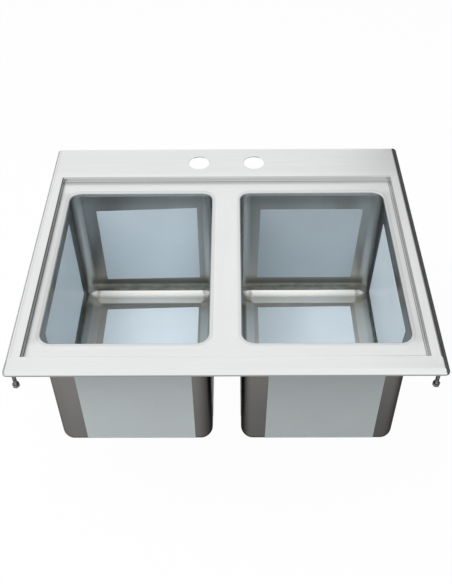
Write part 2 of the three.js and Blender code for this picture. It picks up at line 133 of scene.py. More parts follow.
# The same for the films outside the front walls: how far both ends are off, at the top and at the floor
OUTER_LEANS = {
    "film_outer_front_left": ((0, -0.0016), (0, -0.0008)),
    "film_outer_front_right": ((0.0019, -0.0018), (-0.0012, -0.002)),
}

TAIL_DIAMETER = 0.0381
TAIL_WALL = 0.0012
TAIL_FLANGE_HEIGHT = 0.0015
NECK_DIAMETER = 0.047
NECK_PITCH = 0.0022
NECK_THREAD = 0.0009
NECK_TIP = 0.0006
NECK_SHOULDER = 0.004
THREAD_BORE = 0.0476
SEAT_DIAMETER = 0.051
SEAT_DROP = 0.0014
FLANGE_HEIGHT = 0.0024
COUPLING_LIP = 0.0025
CUP_OUTSIDE = 0.0369
CUP_WALL = 0.001
CUP_RIM_HEIGHT = 0.0012
CUP_BEND = 0.0008
CUP_HOLE = 0.0032
HOLE_RING_PITCH = 0.0052
HOLE_SPACING = 0.0066
CUP_SLOTS = 10
CUP_SLOT_WIDTH = 0.0026
CUP_SLOT_MARGIN = 0.005
POST_DIAMETER = 0.005
KNOB_DIAMETER = 0.013
KNOB_HEIGHT = 0.005
KNOB_CLEARANCE = 0.006

STUD_PITCH = 0.001
STUD_THREAD = 0.0005
STUD_SHANK = 0.012
STUD_TIP = 0.0008
STUD_WELD = 0.0012
STUD_GAP = 0.0001
NUT_BORE = 0.0062
NUT_EDGE = 0.0006
# How wide the flat end of each nut is, as a share of the distance across its flats
LOCKNUT_END = 0.97
COUPLING_END = 0.96
HOLD_DOWN_END = 0.95

SMALLEST_CORNER = 0.0004
CORNER_STEPS = 12
BEND_STEPS = 10
COVE_STEPS = 14
NUT_STEPS = 6
ROUND_SIDES = 96
KNOB_SIDES = 64
STUD_SIDES = 24
HOLE_SIDES = 20
ON_AXIS = 1e-9
SHARP_ANGLE = radians(32)

# ---- Places read from the frame ----

deck_low, deck_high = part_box("deck")
RIM_TOP = deck_high.z
SHELF_TOP = RIM_TOP - STEP_DROP
SEAM = SHELF_TOP - LIP_RADIUS - LIP_SKIRT
STEP_RUN = 2 * STEP_RADIUS

# Outlines as (left, right, front, back)
rim_box = (deck_low.x, deck_high.x, deck_low.y, deck_high.y)
step_box = (deck_low.x + SIDE_RIM, deck_high.x - SIDE_RIM, deck_low.y + FRONT_RIM, deck_high.y - LEDGE)


def bowl_box(side):
    low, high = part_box(f"bowl_{side}")
    return (low.x + SHEET, high.x - SHEET, low.y + SHEET, high.y - SHEET)


LEFT_BOWL, RIGHT_BOWL = bowl_box("left"), bowl_box("right")
BOWL_HALF = (LEFT_BOWL[3] - LEFT_BOWL[2]) / 2
FLOOR_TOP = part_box("bowl_left")[0].z + SHEET + RECESS_DEPTH
CREASE = FLOOR_TOP + CREASE_HEIGHT
RECESS_TOP = FLOOR_TOP - RECESS_DEPTH
BOWL_CENTRE = {side: sum(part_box(f"bowl_{side}"), Vector()) / 2 for side in SIDES}


# ---- Node materials ----

class Field:
    """A node's output: a number, vector or colour at every point, with sums that add more nodes."""

    def __init__(self, tree, socket):
        self.tree, self.socket = tree, socket

    def __add__(self, other):
        return maths("ADD", self, other)

    def __sub__(self, other):
        return maths("SUBTRACT", self, other)

    def __rsub__(self, other):
        return maths("SUBTRACT", other, self)

    def __mul__(self, other):
        return maths("MULTIPLY", self, other)

    def __abs__(self):
        return maths("ABSOLUTE", self)


def node(tree, kind, inputs=None, **settings):
    """A node with its settings; each input takes a plain value or a field."""
    made = tree.nodes.new(f"ShaderNode{kind}")
    for key, value in settings.items():
        setattr(made, key, value)
    for key, value in (inputs or {}).items():
        if isinstance(value, Field):
            tree.links.new(value.socket, made.inputs[key])
        else:
            made.inputs[key].default_value = value
    return made


def field(tree, kind, inputs=None, output=0, **settings):
    return Field(tree, node(tree, kind, inputs, **settings).outputs[output])


def maths(operation, first, second=0.0):
    tree = first.tree if isinstance(first, Field) else second.tree
    return field(tree, "Math", {0: first, 1: second}, operation=operation)


def parts(vector):
    """The X, Y and Z of a vector field."""
    split = node(vector.tree, "SeparateXYZ", {0: vector})
    return [Field(vector.tree, socket) for socket in split.outputs]


def facing(place):
    """The X, Y and Z of the surface's normal."""
    return parts(field(place.tree, "NewGeometry", output="Normal"))


def smooth(value, start, end):
    """0 below start, 1 above end and smooth between; swap the ends for the opposite."""
    inputs = {"Value": value, "From Min": start, "From Max": end}
    return field(value.tree, "MapRange", inputs, interpolation_type="SMOOTHSTEP")


def past(value, place, ramp):
    """The same, from a place on; the ramp holds both ends' distances from it."""
    return smooth(value, place + ramp[0], place + ramp[1])


def band(value, low, high, soft):
    """1 between low and high, with soft ends."""
    return smooth(value, low - soft, low + soft) * smooth(value, high + soft, high - soft)


NOISE_RANGE = (0.3, 0.7)


def remap(value, low, high):
    """A noise's middle range stretched to low…high."""
    ends = {"From Min": NOISE_RANGE[0], "From Max": NOISE_RANGE[1], "To Min": low, "To Max": high}
    return field(value.tree, "MapRange", {"Value": value, **ends})


def noise(place, scale, stretch=(1, 1, 1), detail=2.0):
    """Smooth noise; stretch divides its frequency along each axis."""
    squeeze = [1 / s for s in stretch]
    mapped = field(place.tree, "Mapping", {"Vector": place, "Scale": squeeze})
    inputs = {"Vector": mapped, "Scale": scale, "Detail": detail}
    return field(place.tree, "TexNoise", inputs, "Fac")


# The two inputs and the output that a mix node uses for each kind of value
MIX_SOCKETS = {"FLOAT": (2, 3, 0), "VECTOR": (4, 5, 1), "RGBA": (6, 7, 2)}


def mix(factor, first, second, kind="FLOAT"):
    """The first value where the factor is 0 and the second where it is 1."""
    a, b, output = MIX_SOCKETS[kind]
    return field(factor.tree, "Mix", {"Factor": factor, a: first, b: second}, output, data_type=kind)


def mix_colour(factor, *colours):
    first, second = (c if isinstance(c, Field) else (*c, 1) for c in colours)
    return mix(factor, first, second, "RGBA")


def weaken(mask, factor):
    """A multiplier that is 1 where the mask is 0 and the factor where the mask is 1."""
    return mix(mask, 1.0, factor)


def sided(x, tones, blend=0.01, at=0.0):
    """The left tone on one side of a place and the right tone on the other."""
    return mix(smooth(x, at - blend, at + blend), tones["left"], tones["right"])


def shaded(clouds, colour, dark, light):
    """The colour, darkened and lightened by a noise."""
    return mix_colour(remap(clouds, 0, 1), [c * dark for c in colour], [min(c * light, 1) for c in colour])


def scaled(colour, factor):
    return field(colour.tree, "VectorMath", {0: colour, "Scale": factor}, operation="SCALE")


def bump(height, distance):
    return field(height.tree, "Bump", {"Height": height, "Distance": distance})


def grey(level):
    return (level, level, level, 1)


def empty_tree(owner):
    owner.use_nodes = True
    owner.node_tree.nodes.clear()
    return owner.node_tree


def new_material(name):
    """An empty material and its object coordinates."""
    material = bpy.data.materials.new(name)
    return material, field(empty_tree(material), "TexCoord", output="Object")


def finished(material, **inputs):
    """The material with its shader, whose inputs are named with _ for spaces."""
    tree = material.node_tree
    named = {key.replace("_", " "): value for key, value in inputs.items()}
    shader = field(tree, "BsdfPrincipled", named)
    node(tree, "OutputMaterial", {"Surface": shader})
    return material


# ---- Deck steel: tones of painted shade and painted reflection multiply its colour, ramps are distances over which they set in ----

DECK_COLOUR = (0.82, 0.83, 0.825)
# Painted shade: the faucet ledge a little darker than the rest of the rim top.
LEDGE_SHADE = 0.96
LEDGE_RAMP = (0.004, 0.02)
# Painted reflection on the pressed step: dark lines along its upper and lower folds, lighter between, darkest
# on the left step.
STEP_UPPER_FOLD_SHADE = {"left": 0.01, "right": 0.38, "back": 0.55}
STEP_LOWER_FOLD_SHADE = {"left": 0.6, "right": 0.38, "back": 0.55}
STEP_MIDDLE_SHADE = {"left": 0.45, "right": 0.8, "back": 0.8}
STEP_SHIFTS = {"left": 0.0003, "right": -0.0004, "back": 0.0}
STEP_LINE = 0.0007
BAND_SOFTNESS = 0.0005
STEP_BUMP = 0.1
# Painted shade: the shelf just in front of the back step, and the side shelves beside the bowls, are painted
# darker.
STEP_FOOT_SHADE = 0.88
STEP_FOOT_REACH = 0.013
SIDE_SHELF_SHADE = 0.86
SIDE_SHELF_RAMP = (-0.002, 0.002)
LOW_SHELF_RAMP = (0.001, 0.0004)
LIP_RING_TONE = 0.88
LIP_RING = (BOWL_CORNER + LIP_RADIUS - 0.002, BOWL_CORNER + 0.0065)
# Painted shade on the lips that turn down into the bowls, darkest where they face sideways.
LIP_WALL_SHADE = 0.8
LIP_SIDE_SHADE = 0.42
LIP_RAMP = (-0.0012, -0.003)
LIP_EDGE_RAMP = (-0.0001, -0.0008)
SHOULDER_WIDTH = 0.0098
# Painted reflection on the rolled side edges: the right shoulder painted dark, the left roll painted light.
SHOULDER_PAINTED_REFLECTION = {"left": 0.9, "right": 0.32}
ROLL_PAINTED_REFLECTION = {"left": 1.2, "right": 0.92}
ROLL_FACING = (0.985, 0.955)
# Painted shadow: a dark line low along the front rim's outer edge.
FRONT_EDGE_SHADOW = 0.36
FRONT_EDGE_HEIGHT = (0.0046, 0.0032)
FRONT_EDGE_RAMP = (0.004, 0.003)
# Painted shade on the sheet's downward faces.
UNDERSIDE_SHADE = 0.4
UNDERSIDE_FACING = (-0.5, -0.8)
LINE_RAMP = (-0.0004, 0.0004)
BETWEEN_RAMP = (0.008, -0.008)
BESIDE_RAMP = (-0.001, 0.003)
BEFORE_LEDGE_RAMP = (0.003, -0.002)
GROUND_START = (0.003, 0.009)
GROUND_END = (0.040, 0.034)


def painted_step_shading(place):
    """Where the pressed step is, and its painted reflection: painted dark along both folds, lighter between,
    by its side.
    """
    x, y, _ = parts(place)
    from_side = step_box[1] - abs(x)
    from_back = step_box[3] - y
    behind_front = smooth(y, step_box[2] - BAND_SOFTNESS, step_box[2] + BAND_SOFTNESS)
    at_back = smooth(from_back - from_side, *reversed(LINE_RAMP))

    def by_side(tones):
        return mix(at_back, sided(x, tones), tones["back"])

    inward = maths("MINIMUM", from_side, from_back) + by_side(STEP_SHIFTS)
    in_step = band(inward, -STEP_LINE, STEP_RUN + STEP_LINE, BAND_SOFTNESS)
    middle = band(inward, STEP_LINE, STEP_RUN - STEP_LINE, BAND_SOFTNESS)
    lower = past(inward, STEP_RUN / 2, LINE_RAMP)
    edge = mix(lower, by_side(STEP_UPPER_FOLD_SHADE), by_side(STEP_LOWER_FOLD_SHADE))
    pressed = in_step * behind_front
    return pressed, weaken(pressed, mix(middle, edge, by_side(STEP_MIDDLE_SHADE)))


def deck_corner(across, along):
    """The distance from the centre of a bowl's corner, and where the weld round the corner is ground."""
    tree = across.tree
    corner_x = (LEFT_BOWL[1] - LEFT_BOWL[0]) / 2 - BOWL_CORNER
    reach_x = maths("MAXIMUM", abs(across - BOWL_CENTRE["right"].x) - corner_x, 0.0)
    reach_y = maths("MAXIMUM", along - (BOWL_HALF - BOWL_CORNER), 0.0)
    reach = field(tree, "CombineXYZ", {0: reach_x, 1: reach_y})
    radius = field(tree, "VectorMath", {0: reach}, "Value", operation="LENGTH")
    both = maths("MINIMUM", smooth(reach_x, *GROUND_START), smooth(reach_y, *GROUND_START))
    return radius, both * smooth(radius, *GROUND_END)


def painted_deck_shade(place, outside, between, radius, fold_painted_shade):
    """Painted shade and painted reflection on the side shelves, folds, lips, rolled edges, ledge and
    underside.
    """
    x, y, z = parts(place)
    upward = facing(place)
    low_shelf = past(z, SHELF_TOP, LOW_SHELF_RAMP)
    side_shelf = low_shelf * past(abs(x), RIGHT_BOWL[1], SIDE_SHELF_RAMP) * between
    step_foot = step_box[3] - STEP_RUN
    near_step = low_shelf * smooth(y, step_foot - STEP_FOOT_REACH, step_foot)
    ring = band(radius, *LIP_RING, BAND_SOFTNESS) * low_shelf
    lip_shade = mix(smooth(abs(upward[0]), 0.3, 0.8), LIP_WALL_SHADE, LIP_SIDE_SHADE)
    side_roll = past(outside, SIDE_RIM - SHOULDER_WIDTH, LINE_RAMP) * smooth(z, 0.0005, 0.0012)
    roll_reflection = mix(smooth(upward[2], *ROLL_FACING), sided(x, SHOULDER_PAINTED_REFLECTION), sided(x, ROLL_PAINTED_REFLECTION))
    low_front = smooth(z, *FRONT_EDGE_HEIGHT) * past(y, rim_box[2], FRONT_EDGE_RAMP)
    shade = fold_painted_shade
    for mask, tone in (
            (side_shelf, SIDE_SHELF_SHADE), (near_step, STEP_FOOT_SHADE), (ring, LIP_RING_TONE),
            (side_roll, roll_reflection), (low_front, FRONT_EDGE_SHADOW),
            (past(y, step_box[3], LEDGE_RAMP), LEDGE_SHADE), (past(z, SHELF_TOP, LIP_RAMP), lip_shade),
            (smooth(upward[2], *UNDERSIDE_FACING), UNDERSIDE_SHADE)):
        shade = shade * weaken(mask, tone)
    return shade


def deck_steel():
    """Satin steel, brushed along each strip of the rim and shelf, with ground weld corners."""
    material, place = new_material("deck_steel")
    x, y, z = parts(place)
    across, along = abs(x), abs(y - BOWL_CENTRE["left"].y)
    between = past(along, BOWL_HALF, BETWEEN_RAMP)
    mitre = maths("MAXIMUM", step_box[2] - y, 0.0) * (SIDE_RIM / FRONT_RIM)
    outside = across - step_box[1] - mitre
    beside = smooth(outside, *BESIDE_RAMP)
    lengthwise = maths("MAXIMUM", between, beside * past(y, step_box[3], BEFORE_LEDGE_RAMP))

    def streaks(scale, stretch, detail):
        """Brushed marks across the sink or, on the lengthwise strips, along it."""
        crosswise = noise(place, scale, (stretch, 1, 1), detail)
        return mix(lengthwise, crosswise, noise(place, scale, (1, stretch, 1), detail))

    broad, fine = streaks(130, 22, 2), streaks(900, 60, 4)
    radius, ground = deck_corner(across, along)
    rings = noise(field(place.tree, "CombineXYZ", {0: radius}), 420, (1, 1, 1), 3)
    tone = mix(ground, broad, rings) * 0.6 + noise(place, 9, (2, 1, 1), 3) * 0.4
    # The step's and the deck's painted shade and painted reflection multiply the brushed colour.
    pressed, fold_painted_shade = painted_step_shading(place)
    shade = painted_deck_shade(place, outside, between, radius, fold_painted_shade)
    base = scaled(shaded(tone, DECK_COLOUR, 0.97, 1.02), shade)

    satin = remap(fine, 0.27, 0.36) + ground * 0.04
    rolled = smooth(facing(place)[2], 0.999, 0.985) * smooth(z, 0.0005, 0.0015)
    roughness = mix(past(z, SHELF_TOP, LIP_EDGE_RAMP), mix(rolled, satin, 0.15), 0.5)
    flow = mix(lengthwise, (1, 0, 0), (0, 1, 0), "VECTOR")
    grain = (fine * 0.5 + broad * 0.7) * weaken(pressed, STEP_BUMP)
    return finished(
        material, Base_Color=base, Roughness=roughness, Metallic=1.0, Anisotropic=0.45, Tangent=flow,
        Normal=bump(grain, 0.00002))


# ---- Bowl steel ----

BOWL_STREAKS = 420


def bowl_steel(name, colour, edge_tint, wall_roughness, floor_roughness, shade, tint=None):
    """Brushed steel of the bowls: streaks down the walls and along the duller floor, cloudy drawing marks."""
    material, place = new_material(name)
    flat = smooth(abs(facing(place)[2]), 0.75, 0.95)
    streak = mix(flat, noise(place, BOWL_STREAKS, (1, 1, 40)), noise(place, BOWL_STREAKS, (40, 1, 1)))
    cloud = noise(place, 22, (1, 1, 2.5), 3)
    base = shaded(streak * 0.4 + cloud * 0.6, colour, 0.95, 1.05)
    if tint:
        base = field(place.tree, "VectorMath", {0: base, 1: tint(place)}, operation="MULTIPLY")
    # The shade function multiplies painted light and shade into the colour.
    return finished(
        material, Base_Color=scaled(base, shade(place)), Metallic=1.0, Anisotropic=0.4,
        Roughness=mix(flat, remap(streak, *wall_roughness), remap(streak, *floor_roughness)),
        Specular_Tint=grey(edge_tint), Tangent=mix(flat, (0, 0, 1), (1, 0, 0), "VECTOR"))


# Painted light and shade inside the bowls: levels that multiply the steel's colour. The front and back walls
# are painted darker under the top and far darker towards the foot and on the weld band; the side walls keep
# about their level there.
WALL_TONE = 1.15
WALL_TOP_SHADE = 0.9
WALL_TOP_RAMP = (-0.028, -0.006)
SIDE_TOP_SHADE = 1.1
FOOT_SHADE = 0.40
FOOT_RAMP = (0.056, 0.034)
SIDE_FOOT_SHADE = 1.2
WELD_BAND_SHADE = 1.0
WELD_RAMP = (0.030, 0.026)
WELD_MARKS = (0.78, 1.25)
SIDE_FACING = (0.3, 0.7)
# Painted highlight on the cove: the steel's colour raised far above the walls', by lower levels on the left
# bowl, where the sides are steep and in the corners.
COVE_HIGHLIGHT = 2.5
LEFT_COVE_HIGHLIGHT = 1.3
LEFT_COVE_RAMP = (0.09, 0.03)
INNER_COVE_HIGHLIGHT = 1.8
BESIDE_COVE_RAMP = (0.022, 0.045)
STEEP_COVE_HIGHLIGHTS = {"left": 0.95, "right": 2.3}
STEEP_COVE_RAMP = (0.014, 0.0085)
CORNER_HIGHLIGHT = 1.6
CORNER_SIDE_RAMP = (0.037, 0.032)
CORNER_BACK_RAMP = (0.034, 0.024)
CORNER_RAGGEDNESS = 0.012
# Painted light: the bare floor margins painted paler than the walls, the right bowl's more.
FLOOR_PAINTED_LIGHT = {"left": 1.5, "right": 2.0}
FLOOR_RAMP = (0.0006, 0.0002)
LOW_WARMTH = (1.04, 1.0, 0.92)
COVE_WARMTH = (1.03, 1.0, 0.97)
WARM_RAMP = (0.07, 0.03)


def low_warmth(place):
    """A warm tint low on the front and back walls, and a fainter one on the cove."""
    height = parts(place)[2]
    low = smooth(abs(facing(place)[0]), *reversed(SIDE_FACING)) * past(height, FLOOR_TOP, WARM_RAMP)
    return mix_colour(low, (1, 1, 1), mix_colour(past(height, CREASE, LINE_RAMP), COVE_WARMTH, LOW_WARMTH))


def painted_wall_shade(z, on_side, marks):
    """Even, but for painted shade at its top and its foot, and the ground weld above the crease, mottled by
    its marks, whose level is painted too.
    """
    top = mix(on_side, WALL_TOP_SHADE, SIDE_TOP_SHADE)
    tone = mix(past(z, SEAM, WALL_TOP_RAMP), WALL_TONE, top)
    tone = mix(past(z, FLOOR_TOP, FOOT_RAMP), tone, mix(on_side, FOOT_SHADE, SIDE_FOOT_SHADE))
    return mix(past(z, FLOOR_TOP, WELD_RAMP), tone, mix(on_side, WELD_BAND_SHADE, SIDE_FOOT_SHADE) * marks)


def painted_cove_highlight(x, from_side, from_back, marks):
    """A painted highlight, weaker along the left bowl and where it is steep at the sides, with mottled
    corners.
    """
    beside = smooth(from_back, *BESIDE_COVE_RAMP)
    left_cove = mix(past(x, LEFT_BOWL[0], LEFT_COVE_RAMP), INNER_COVE_HIGHLIGHT, LEFT_COVE_HIGHLIGHT)
    tone = mix(beside * smooth(x, 0.01, -0.01), COVE_HIGHLIGHT, left_cove)
    steep_tone = sided(x, STEEP_COVE_HIGHLIGHTS, at=BOWL_CENTRE["right"].x)
    tone = mix(beside * smooth(from_side, *STEEP_COVE_RAMP), tone, steep_tone)
    ragged = from_side + marks * CORNER_RAGGEDNESS
    corner = smooth(ragged, *CORNER_SIDE_RAMP) * smooth(from_back, *CORNER_BACK_RAMP)
    return mix(corner, tone, marks * CORNER_HIGHLIGHT)


def inside_painted_light(place):
    """Painted light inside a bowl: a wall with painted shade down to its foot, a ground weld above the
    crease, a painted highlight on the cove and a floor painted pale.
    """
    x, y, z = parts(place)
    from_side = (RIGHT_BOWL[1] - RIGHT_BOWL[0]) / 2 - abs(abs(x) - BOWL_CENTRE["right"].x)
    from_back = LEFT_BOWL[3] - y
    on_side = smooth(abs(facing(place)[0]), *SIDE_FACING)
    marks = remap(noise(place, 130, (2.5, 1, 1.2), 3), *WELD_MARKS)
    cove = painted_cove_highlight(x, from_side, from_back, marks)
    lower = mix(past(z, FLOOR_TOP, FLOOR_RAMP), cove, sided(x, FLOOR_PAINTED_LIGHT))
    return mix(past(z, CREASE, LINE_RAMP[::-1]), painted_wall_shade(z, on_side, marks), lower)


# Painted shade on the outside of the bowls: darker in the gap between them, on the right and towards the
# floor; a painted highlight lightens the left end.
GAP_SHADE = 0.42
GAP_REACH = {"left": 0.026, "right": 0.014}
OUTSIDE_SIDE_SHADE = {"left": 1.12, "right": 0.80}
OUTSIDE_LOW_SHADE = {"left": 0.86, "right": 0.70}
OUTSIDE_BLEND = 0.3
OUTSIDE_LEFT_HIGHLIGHT = 1.5
LEFT_EDGE_REACH = 0.016


def outside_painted_shade(place):
    """Painted shade: the bowls darken towards each other and, a little, to the right and to the floor, and a
    painted highlight lightens their left end.
    """
    x, _, z = parts(place)
    lowest = sided(x, OUTSIDE_LOW_SHADE, OUTSIDE_BLEND)
    left_end, gap_end = LEFT_BOWL[0], RIGHT_BOWL[0]
    edge = weaken(smooth(x, left_end + LEFT_EDGE_REACH, left_end), OUTSIDE_LEFT_HIGHLIGHT)
    off_gap = smooth(abs(x), gap_end, sided(x, GAP_REACH, 0.001) + gap_end)
    low = weaken(smooth(z, SHELF_TOP, FLOOR_TOP), lowest)
    return sided(x, OUTSIDE_SIDE_SHADE, OUTSIDE_BLEND) * low * edge * mix(off_gap, GAP_SHADE, 1.0)


# ---- Film, plate and washers ----

FILM_BUMP = 0.0006


def film_material(name, colour, roughness=0.42, right_shade=1.0):
    """Thin peel-off plastic film: faint clouds, soft ripples and a weak gloss, and painted shade right of the
    sink's middle, set by the last argument.
    """
    material, place = new_material(name)
    cloud = noise(place, 14, (1, 1, 1), 3)
    base = shaded(cloud * 0.7 + noise(place, 380) * 0.3, colour, 0.965, 1.03)
    factor = sided(parts(place)[0], {"left": 1.0, "right": right_shade}, 0.02)
    return finished(
        material, Base_Color=scaled(base, factor), Roughness=remap(cloud, roughness - 0.05, roughness + 0.06),
        Specular_IOR_Level=0.4, Normal=bump(noise(place, 26, (1, 1, 2.2)), FILM_BUMP))


def chrome():
    """Polished plate with a faint turned grain and a little water haze."""
    material, place = new_material("chrome_plate")
    haze = noise(place, 60, (1, 1, 1), 3)
    base = shaded(haze, (0.72, 0.73, 0.74), 0.9, 1.05)
    return finished(
        material, Base_Color=base, Roughness=remap(haze, 0.08, 0.2), Metallic=1.0,
        Normal=bump(noise(place, 700, (6, 6, 1), 3), 0.000008))


def zinc():
    """Dull zinc plate on the studs and nuts, darker where it has weathered."""
    material, place = new_material("zinc_plate")
    spots = noise(place, 260, (1, 1, 1.6), 4)
    base = mix_colour(remap(spots, 0, 1), (0.09, 0.09, 0.086), (0.32, 0.33, 0.315))
    return finished(
        material, Base_Color=base, Roughness=remap(spots, 0.45, 0.28), Metallic=1.0,
        Normal=bump(spots, 0.00004))


def soft_plastic(name, colour, roughness, scale, depth):
    """Rubber, fibre or plastic of a washer: mottled, with a fine grain."""
    material, place = new_material(name)
    grain = noise(place, scale, (1, 1, 1), 4)
    base = shaded(noise(place, scale / 8), colour, 0.82, 1.12)
    return finished(
        material, Base_Color=base, Roughness=remap(grain, roughness - 0.08, roughness + 0.06),
        Normal=bump(grain, depth))


DECK_STEEL = deck_steel()
# The bowls are the deck's steel painted far darker, and darker still outside: painted reflection of dark
# surroundings, which their painted light then varies.
SHADED_INNER_STEEL = bowl_steel(
    "bowl_inside_shaded_steel", (0.40, 0.405, 0.395), 0.5, (0.28, 0.31), (0.40, 0.44), inside_painted_light, low_warmth)
SHADED_OUTER_STEEL = bowl_steel(
    "bowl_outside_shaded_steel", (0.20, 0.193, 0.186), 0.3, (0.33, 0.37), (0.33, 0.37), outside_painted_shade)
# The inner films are one film: the side and back panels are painted lighter than the floor's as painted
# light. The back and outer films' right halves are painted darker as painted shade.
FLOOR_FILM = film_material("floor_film", (0.70, 0.785, 0.845))
SIDE_FILM = film_material("side_film", (0.76, 0.85, 0.905))
BACK_FILM = film_material("back_film", (0.71, 0.81, 0.875), right_shade=0.78)
OUTER_FILM = film_material("outer_film", (0.54, 0.595, 0.60), 0.5, 0.88)
CHROME = chrome()
ZINC = zinc()
RUBBER = soft_plastic("gasket_rubber", (0.022, 0.022, 0.023), 0.72, 900, 0.00004)
FIBRE = soft_plastic("pressed_fibre", (0.32, 0.2, 0.1), 0.85, 1400, 0.00008)
PLASTIC = soft_plastic("white_plastic", (0.78, 0.77, 0.72), 0.45, 500, 0.00001)


# ---- Outlines ----

def spoke(centre, radius, angle):
    return (centre[0] + radius * cos(angle), centre[1] + radius * sin(angle))


def arc(cx, cy, radius, start, end, steps):
    """Points of an arc, with angles in degrees."""
    angles = [radians(start + (end - start) * i / steps) for i in range(steps + 1)]
    return [spoke((cx, cy), radius, a) for a in angles]


def rounded_rect(box, inset, radius):
    """A rectangle drawn in by the inset, its corners rounded by the radius less the inset."""
    x0, x1, y0, y1 = box[0] + inset, box[1] - inset, box[2] + inset, box[3] - inset
    r = max(radius - inset, SMALLEST_CORNER)
    return (
        arc(x1 - r, y1 - r, r, 0, 90, CORNER_STEPS) + arc(x0 + r, y1 - r, r, 90, 180, CORNER_STEPS)
        + arc(x0 + r, y0 + r, r, 180, 270, CORNER_STEPS) + arc(x1 - r, y0 + r, r, 270, 360, CORNER_STEPS))


def circle(cx, cy, diameter, sides=ROUND_SIDES):
    return arc(cx, cy, diameter / 2, 0, 360, sides)[:-1]


def rounded(points, radii, steps=4):
    """A closed outline with each corner rounded by its own radius; 0 keeps the corner."""
    made = []
    for i, (corner, radius) in enumerate(zip(points, radii)):
        here = Vector(corner)
        to_last = (Vector(points[i - 1]) - here).normalized()
        to_next = (Vector(points[(i + 1) % len(points)]) - here).normalized()
        half = to_last.angle(to_next) / 2
        if radius == 0 or half > radians(89):
            made.append(tuple(here))
            continue
        centre = here + (to_last + to_next).normalized() * radius / sin(half)
        first = here + to_last * radius / tan(half) - centre
        last = here + to_next * radius / tan(half) - centre
        for step in range(steps + 1):
            out = first.lerp(last, step / steps).normalized() * radius
            made.append(tuple(centre + out))
    return made


# ---- Meshes ----

def linked(name, data):
    """A new object in the scene."""
    made = bpy.data.objects.new(name, data)
    scene.collection.objects.link(made)
    return made


class Surface:
    """A mesh made of loops of vertices that are bridged and filled."""

    def __init__(self):
        self.mesh = bmesh.new()
        self.finish = 0

    def path(self, points):
        return [self.mesh.verts.new(point) for point in points]

    def loop(self, outline, z):
        return self.path([(x, y, z) for x, y in outline])

    def face(self, *corners):
        made = self.mesh.faces.new(corners)
        made.material_index = self.finish

    def bridge(self, first, second, closed=True):
        count = len(first)
        for i in range(count if closed else count - 1):
            j = (i + 1) % count
            ring = [first[i], first[j], second[j], second[i]]
            corners = [v for k, v in enumerate(ring) if v is not ring[k - 1]]
            if len(corners) > 2:
                self.face(*corners)

    def bridge_all(self, loops, wrap=False, closed=True):
        """Bridges each loop to the next and, to wrap, the last to the first; open loops make a grid."""
        for first, second in zip(loops, loops[1:] + (loops[:1] if wrap else [])):
            self.bridge(first, second, closed)

    def fill(self, outer, holes=()):
        """Fills a flat region between an outer loop and any holes."""
        rings = [outer, *holes]
        corners = [v for ring in rings for v in ring]
        for triple in tessellate_polygon([[v.co for v in ring] for ring in rings]):
            self.face(*(corners[i] for i in triple))

    def build(self, name, *materials):
        bmesh.ops.recalc_face_normals(self.mesh, faces=self.mesh.faces)
        data = bpy.data.meshes.new(name)
        self.mesh.to_mesh(data)
        self.mesh.free()
        for material in materials:
            data.materials.append(material)
        data.shade_smooth()
        data.set_sharp_from_angle(angle=SHARP_ANGLE)
        made = linked(name, data)
        made.modifiers.new("flat_faces_stay_flat", "WEIGHTED_NORMAL").keep_sharp = True
        return made


def stand_for(made, name):
    """The piece rides with its node's body and hides the node."""
    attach(made, frame["nodes"][name]["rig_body"])
    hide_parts(name)


def thread_depth(z, turn, depth, pitch):
    """How deep a screw thread is cut at a height and a share of a turn: flat crests, sloped sides."""
    phase = (z / pitch - turn) % 1
    return depth * min(1.0, max(0.0, abs(2 * phase - 1) * 1.3 - 0.15))


def turned(name, profile, place, material, sides=ROUND_SIDES):
    """A surface turned about a vertical axis from a closed profile of (radius, z[, thread, pitch])."""
    skin = Surface()
    loops = []
    for radius, z, *thread in profile:
        if radius < ON_AXIS:
            loops.append(skin.path([(*place, z)]) * sides)
            continue
        ring = []
        for i in range(sides):
            reach = radius - thread_depth(z, i / sides, *thread) if thread else radius
            ring.append(spoke(place, reach, 2 * pi * (i / sides)))
        loops.append(skin.loop(ring, z))
    on_axis = profile[0][0] < ON_AXIS and profile[-1][0] < ON_AXIS
    skin.bridge_all(loops, wrap=not on_axis)
    return skin.build(name, material)


def threaded(radius, low, high, pitch, depth):
    """Profile points up a screw thread, which runs out over a pitch at either end."""
    count = int((high - low) / (pitch / 6))
    points = []
    for i in range(count + 1):
        z = low + (high - low) * i / count
        fade = min(1.0, min(z - low, high - z) / pitch)
        points.append((radius, z, depth * fade, pitch))
    return points


def hexagon_radius(angle, flats):
    return flats / 2 / cos((angle + pi / 6) % (pi / 3) - pi / 6)


def make_nut(name, place, bore, end, material, throat=None):
    """A hexagon nut for a node's box, its corners turned down to a flat end, its bore's edges rounded.

    throat is (z, bore below it) where the bore narrows.
    """
    low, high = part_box(name)
    flats = high.y - low.y
    skin = Surface()
    slope = tan(radians(30))
    rise = (flats / 2 / cos(pi / 6) - flats / 2 * end) * slope
    angles = [2 * pi * i / ROUND_SIDES for i in range(ROUND_SIDES)]

    def ring(reach, z):
        """The hexagon turned down to a reach, which is a plain circle within its flats."""
        return skin.loop([spoke(place, min(hexagon_radius(a - pi / 2, flats), reach), a) for a in angles], z)

    def corners(rise, z):
        return ring(flats / 2 * end + rise / slope, z)

    edge = min(NUT_EDGE, (flats / 2 - bore / 2) / 5)
    low_bore = throat[1] if throat else bore
    rises = [rise * i / NUT_STEPS for i in range(NUT_STEPS + 1)]
    loops = [ring(low_bore / 2 + edge, low.z)]
    loops += [corners(r, low.z + r) for r in rises] + [corners(r, high.z - r) for r in reversed(rises)]
    loops += [ring(bore / 2 + edge, high.z), ring(bore / 2, high.z - edge)]
    if throat:
        loops += [ring(bore / 2, throat[0]), ring(low_bore / 2, throat[0])]
    loops.append(ring(low_bore / 2, low.z + edge))
    skin.bridge_all(loops, wrap=True)
    stand_for(skin.build(f"{name}_hex", material), name)


# ---- Deck ----

